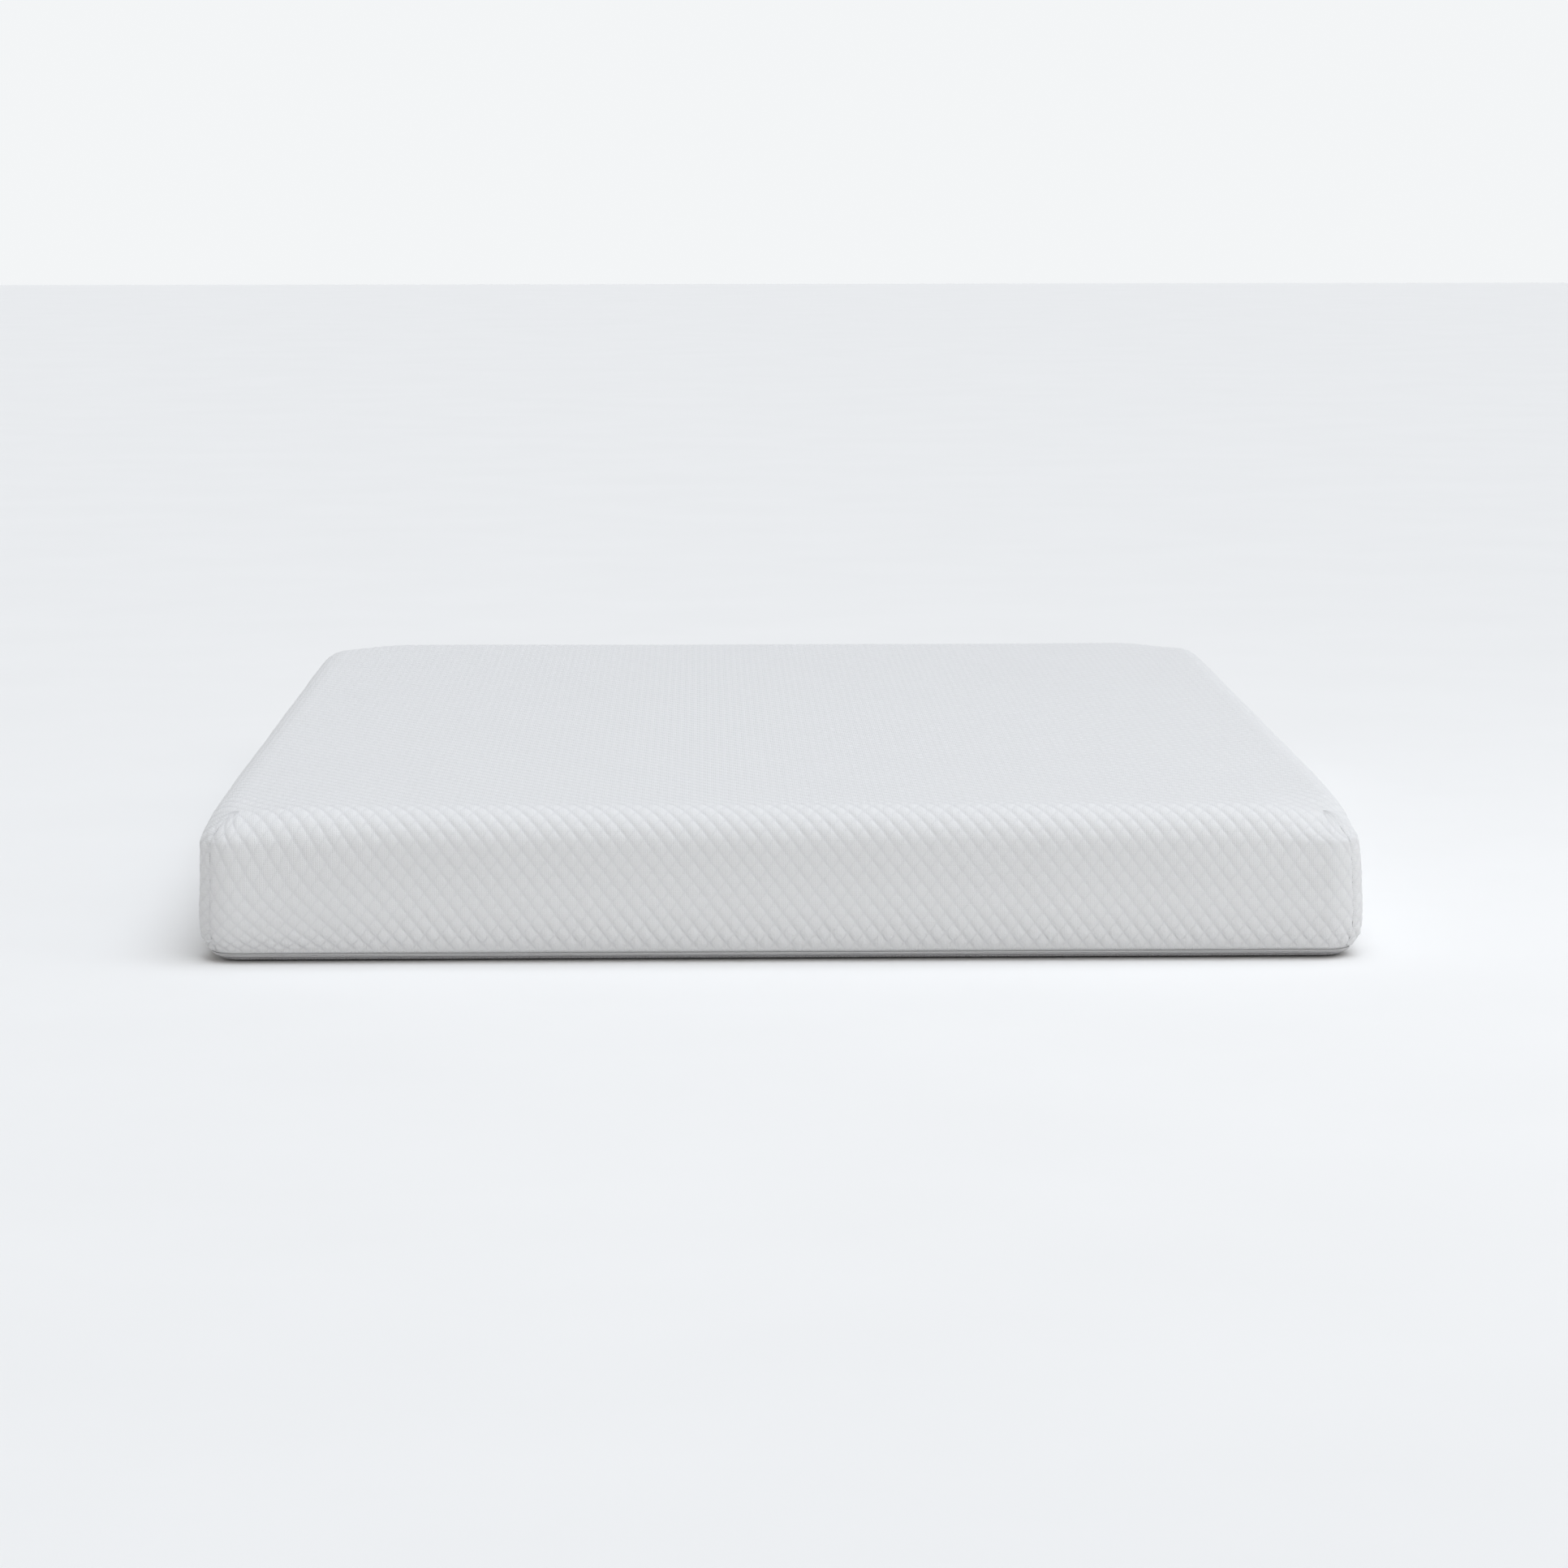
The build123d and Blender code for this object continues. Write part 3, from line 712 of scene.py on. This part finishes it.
def knit_material(name, color, painted_groove_shade):
    """A fine knit: ribs of V stitches, with painted shade in the quilting's grooves, along the corner seams
    and between the stitches, and a faint random cloudiness.
    """
    m = Nodes(name, color, 0.92, sheen=0.25)
    source, (x, y, _) = m.parts("cloth")
    rib = m.wave(x, 2 * KNIT_RIB)
    slant = m.math("MULTIPLY", m.math("ABSOLUTE", rib), 0.0006)
    course = m.wave(m.math("ADD", y, slant), KNIT_COURSE)
    fuzz = m.noise(source, 0.7, 3.0)
    stitch = m.math("MULTIPLY_ADD", course, 0.35, m.math("ABSOLUTE", rib))
    m.bump(m.math("MULTIPLY_ADD", fuzz, 0.8, stitch), 0.28, 0.8)
    _, (puff, at_seam, _) = m.parts("quilt")
    # Painted shade: the knit is coloured darker in the grooves between the puffs and in the corner seams'
    # valley, and yarn darkens the low parts of each stitch the same way; cloud is random tone.
    depth = m.math("SUBTRACT", m.remap(puff, 0.0, 0.55, 0.0, 1.0), m.math("MULTIPLY", at_seam, 0.5))
    cloud = m.remap(m.noise(source, 160.0, 3.0), 0.3, 0.7, 0.82, 1.0)
    yarn = m.remap(stitch, 0.0, 1.2, 0.9, 1.0)
    m.tint(m.math("MULTIPLY", m.math("MULTIPLY", depth, cloud), yarn), painted_groove_shade)
    return m.material


def woven_material(name, color, pitch, depth, dark=0.86, twill=False, roughness=0.85):
    """A plain or twill weave from the cloth's own coordinates, with painted shade in its hollows."""
    m = Nodes(name, color, roughness, sheen=0.15)
    source, (x, y, _) = m.parts("cloth")
    if twill:
        weave = m.wave(m.math("ADD", x, m.math("ABSOLUTE", y)), pitch)
    else:
        weave = m.math("MULTIPLY", m.wave(x, pitch), m.wave(y, pitch))
    fuzz = m.noise(source, pitch * 0.8, 3.0)
    height = m.math("MULTIPLY_ADD", fuzz, 0.5, weave)
    m.bump(height, depth, 0.8)
    # Painted shade: the low parts of the weave between its threads are coloured darker, mixed with a random
    # fuzz tone.
    m.tint(m.remap(height, -1.0, 1.4, 0.0, 1.0), (dark, dark, dark))
    return m.material


def grip_material(name, color, dot_pitch):
    """The underside's cloth: a plain weave with raised dots that grip the bed base."""
    m = Nodes(name, color, 0.8, sheen=0.1)
    source, (x, y, _) = m.parts("cloth")
    weave = m.math("MULTIPLY", m.wave(x, 1.4), m.wave(y, 1.4))
    dots = m.remap(m.math("MULTIPLY", m.wave(x, dot_pitch), m.wave(y, dot_pitch)), 0.5, 0.7, 0.0, 1.0)
    m.bump(m.math("MULTIPLY_ADD", dots, 4.0, m.math("MULTIPLY", weave, 0.4)), 0.25, 0.8)
    speck = m.remap(m.noise(source, 2.0, 3.0), 0.3, 0.7, 0.6, 1.0)
    m.tint(m.math("MULTIPLY", speck, m.remap(dots, 0.0, 1.0, 1.0, 0.55)), (0.7, 0.7, 0.72))
    return m.material


def foam_material(name, color, cell_mm):
    """Open cell foam: small cells with painted shade in their pits, and a little random colour unevenness.
    """
    m = Nodes(name, color, 0.95, subsurface=0.1)
    source, _ = m.parts("place")
    cells = m.noise(source, cell_mm, kind="ShaderNodeTexVoronoi")
    m.bump(cells, cell_mm * 0.4, 0.8)
    patch = m.remap(m.noise(source, 60.0, 3.0), 0.3, 0.7, 0.0, 1.0)
    # Painted shade: each cell's pit is coloured darker; the large patches are random tone.
    m.tint(m.math("MULTIPLY", patch, m.remap(cells, 0.0, 0.6, 0.4, 1.0)), (0.88, 0.88, 0.86))
    return m.material


def fibre_material(name, color, size_mm, roughness=0.9):
    """Thread, felt or plastic yarn: fine uneven fibres."""
    m = Nodes(name, color, roughness, sheen=0.15)
    source, _ = m.parts("place")
    fibres = m.noise(source, size_mm, 4.0)
    m.bump(fibres, size_mm * 0.5, 0.7)
    m.tint(m.remap(fibres, 0.3, 0.7, 0.0, 1.0), (0.86, 0.86, 0.87))
    return m.material


def metal_material(name, color):
    """Brushed zip metal, rubbed brighter in patches."""
    m = Nodes(name, color, 0.34, metallic=1.0)
    source, (x, _, _) = m.parts("place")
    brush = m.noise(source, 0.5, 4.0)
    grain = m.math("MULTIPLY_ADD", brush, 1.5, m.wave(x, 0.35))
    m.bump(grain, 0.03, 0.35)
    m.link(m.remap(m.noise(source, 5.0, 3.0), 0.3, 0.7, 0.26, 0.46), m.shader.inputs["Roughness"])
    m.tint(m.remap(brush, 0.3, 0.7, 0.0, 1.0), (0.8, 0.8, 0.82))
    return m.material


# The knit keeps this share of its colour where its painted groove shade is deepest.
quilted_knit = knit_material("quilted_knit_looks", WHITE_KNIT, (0.93, 0.93, 0.937))
scrim_cloth = woven_material("backing_scrim_looks", (0.78, 0.78, 0.77), 1.2, 0.1)
fill_felt = fibre_material("wadding_looks", (0.84, 0.84, 0.82), 1.5)
barrier_knit = woven_material("barrier_knit_looks", (0.80, 0.79, 0.76), 1.6, 0.2)
base_weave = grip_material("base_fabric_looks", (0.62, 0.62, 0.64), 14.0)
tape_weave = woven_material("zip_tape_looks", (0.78, 0.78, 0.78), 1.1, 0.15, twill=True)
coil_plastic = fibre_material("zip_coil_looks", (0.80, 0.80, 0.80), 0.5, roughness=0.45)
thread = fibre_material("seam_thread_looks", (0.82, 0.82, 0.82), 0.35)
label_weave = woven_material("label_cloth_looks", (0.84, 0.84, 0.83), 0.9, 0.08)
metal = metal_material("zip_metal_looks", (0.66, 0.66, 0.67))
top_foam = foam_material("memory_foam_looks", (0.80, 0.78, 0.70), 0.9)
middle_foam = foam_material("transition_foam_looks", (0.62, 0.72, 0.78), 1.4)
base_foam = foam_material("support_foam_looks", (0.74, 0.74, 0.74), 1.8)


# --- Pieces ------------------------------------------------------------------------------------------------


def dress(obj, material, nodes=(), body="mattress"):
    """Gives a new piece its material and slot, and lets it stand for its CAD nodes on their body."""
    obj.data.materials.append(material)
    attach(obj, body)
    if nodes:
        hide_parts(*nodes)
    return obj


def repaint(node, material):
    """Keeps a CAD node's shape and gives it a better material."""
    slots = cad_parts[node].data.materials
    slots.clear()
    slots.append(material)


cover = quilt_layer("quilted_cover", 0.0, PUFF_STEPS, PUFF_HEIGHT)
dress(cover, quilted_knit, ["quilt_knit_face"])
fill = quilt_layer("quilt_fill", FILL_INSET, LAYER_STEPS, FILL_PUFF)
dress(fill, fill_felt, ["quilt_wadding"])
scrim = quilt_layer("quilt_scrim", SCRIM_INSET, LAYER_STEPS, SCRIM_PUFF)
dress(scrim, scrim_cloth, ["quilt_backing"])
barrier = quilt_layer("barrier_sleeve", BARRIER_INSET, LAYER_STEPS, 0.0)
dress(barrier, barrier_knit, ["fire_barrier_sleeve"])
foam = dress(memory_foam(), top_foam, ["memory_foam_layer"])
underside = dress(base_cloth(), base_weave, ["base_panel"])

tape_low, tape_high = TAPE_EDGES
tape_back = TAPE_INSET + TAPE_THICKNESS
for name, side in (("upper", 1), ("lower", -1)):
    edges = [(side * tape_low, TAPE_INSET), (side * tape_high, TAPE_INSET)]
    edges += [(side * tape_high, tape_back), (side * tape_low, tape_back)]
    tape = zip_band(f"zip_tape_cloth_{name}", edges[::side], 0.0, 0.0, 6.0)
    dress(tape, tape_weave, [f"zip_tape_{name}"])
    teeth = [(side * (tape_low + rise), inset) for rise, inset in COIL_SECTION]
    run = (COIL_START_X, COIL_END_X, TOOTH_PITCH / 2)
    coil = zip_band(f"zip_teeth_{name}", teeth[::side], *run, ridge=0.7)
    dress(coil, coil_plastic, [f"zip_coil_{name}"])
    row = hem_stitches(f"hem_stitches_{name}", side * STITCH_RISE)
    dress(row, thread, [f"hem_stitching_{name}"])

for end, sign_y in (("foot", -1), ("head", 1)):
    for hand, sign_x in (("left", -1), ("right", 1)):
        row = corner_stitches(f"corner_stitches_{end}_{hand}", sign_x, sign_y)
        dress(row, thread, [f"corner_seam_{end}_{hand}"])

tab = dress(end_tab(), tape_weave, ["zip_end_tab"])
law = label_cloth("law_label", "law_label_cloth", LABEL_CURL, LABEL_STANDOFF)
dress(law, label_weave, ["law_label"])
care = label_cloth("care_label", "care_label_cloth", 0.0, 0.0)
dress(care, label_weave, ["care_label"])
dress(label_stitches("law_label", "law_label_stitches", LABEL_STANDOFF), thread)

for node, material in (
    ("transition_foam_layer", middle_foam),
    ("support_foam_base", base_foam),
    ("zip_start_stop", metal),
    ("zip_end_stop_upper", metal),
    ("zip_end_stop_lower", metal),
    ("zip_slider", metal),
    ("zip_pull_tab", metal),
):
    repaint(node, material)

kept = FOOT_CORNER_COLUMNS * HALF_DIAMOND_X * FOOT_DROP_ROWS * HALF_DIAMOND_Y
kept += SIDE_CORNER_COLUMNS * HALF_DIAMOND_Y * SIDE_DROP_ROWS * HALF_DIAMOND_X


# --- Floor, light and camera ---------------------------------------------------------------------------


def add_floor():
    """A wide pale floor, just below the mattress's own underside."""
    bpy.ops.mesh.primitive_plane_add(size=60.0)
    floor = bpy.context.object
    floor.name = "floor"
    floor.location.z = -FLOOR_GAP * MM
    m = Nodes("pale_floor", PALE_FLOOR, 0.9)
    source, _ = m.parts("place")
    m.tint(m.remap(m.noise(source, 400.0, 3.0), 0.3, 0.7, 0.0, 1.0), (0.985, 0.985, 0.985))
    floor.data.materials.append(m.material)


def add_lamp(name, light, direction):
    """Puts a light in the scene, shining along a direction."""
    lamp = bpy.data.objects.new(name, light)
    lamp.rotation_euler = Vector(direction).to_track_quat("-Z", "Y").to_euler()
    bpy.context.scene.collection.objects.link(lamp)
    return lamp


def add_soft_light(name, direction, spread, strength, color):
    """An even light from far away: the way it shines, how many degrees of sky it fills, its strength."""
    light = bpy.data.lights.new(name, "SUN")
    light.angle = math.radians(spread)
    light.energy = strength
    light.color = color
    add_lamp(name, light, direction)


def add_softbox(name, place, target, size, power):
    """A square area light that faces a point, in metres and watts."""
    light = bpy.data.lights.new(name, "AREA")
    light.shape = "SQUARE"
    light.size = size
    light.energy = power
    lamp = add_lamp(name, light, Vector(target) - Vector(place))
    lamp.location = place


def add_studio(strength, backdrop):
    """Light from all round, and the plain backdrop that the camera sees."""
    world = bpy.data.worlds.new("studio")
    world.use_nodes = True
    tree = world.node_tree
    tree.nodes.clear()
    around, seen = (tree.nodes.new("ShaderNodeBackground") for _ in range(2))
    around.inputs["Color"].default_value = (1.0, 0.985, 0.97, 1.0)
    around.inputs["Strength"].default_value = strength
    seen.inputs["Color"].default_value = backdrop
    mix = tree.nodes.new("ShaderNodeMixShader")
    output = tree.nodes.new("ShaderNodeOutputWorld")
    path = tree.nodes.new("ShaderNodeLightPath")
    tree.links.new(path.outputs["Is Camera Ray"], mix.inputs["Fac"])
    tree.links.new(around.outputs[0], mix.inputs[1])
    tree.links.new(seen.outputs[0], mix.inputs[2])
    tree.links.new(mix.outputs[0], output.inputs["Surface"])
    bpy.context.scene.world = world


def add_camera(place, pitch, heading, roll, lens):
    """A long-lens camera: pitch down, heading towards +X and roll in radians, lens in millimetres."""
    data = bpy.data.cameras.new("camera")
    data.sensor_width = 36.0
    data.lens = lens
    data.clip_end = 200.0
    forward = Vector((
        math.sin(heading) * math.cos(pitch), math.cos(heading) * math.cos(pitch), -math.sin(pitch)
    ))
    right = Vector((math.cos(heading), -math.sin(heading), 0.0))
    turn = Matrix((right, right.cross(forward), -forward)).transposed() @ Matrix.Rotation(roll, 3, "Z")
    camera = bpy.data.objects.new("camera", data)
    camera.matrix_world = Matrix.Translation(place) @ turn.to_4x4()
    bpy.context.scene.collection.objects.link(camera)
    bpy.context.scene.camera = camera


add_floor()
add_soft_light("overhead", (-0.2, 0.06, -1.0), spread=60.0, strength=1.73, color=(0.848, 0.913, 1.0))
add_soft_light("front_right", (-0.45, 1.0, -1.0), spread=40.0, strength=0.38, color=(1.0, 0.98, 0.96))
add_softbox("right_box", place=(2.4, -1.3, 2.3), target=(0.0, -0.4, 0.2), size=2.0, power=10.0)
add_studio(strength=0.42, backdrop=(0.90, 0.915, 0.925, 1.0))
add_camera((-0.10302, -6.8131, 1.04506), pitch=0.13874, heading=0.01807, roll=-0.00106, lens=103.6)

bpy.context.scene.view_settings.view_transform = "Standard"
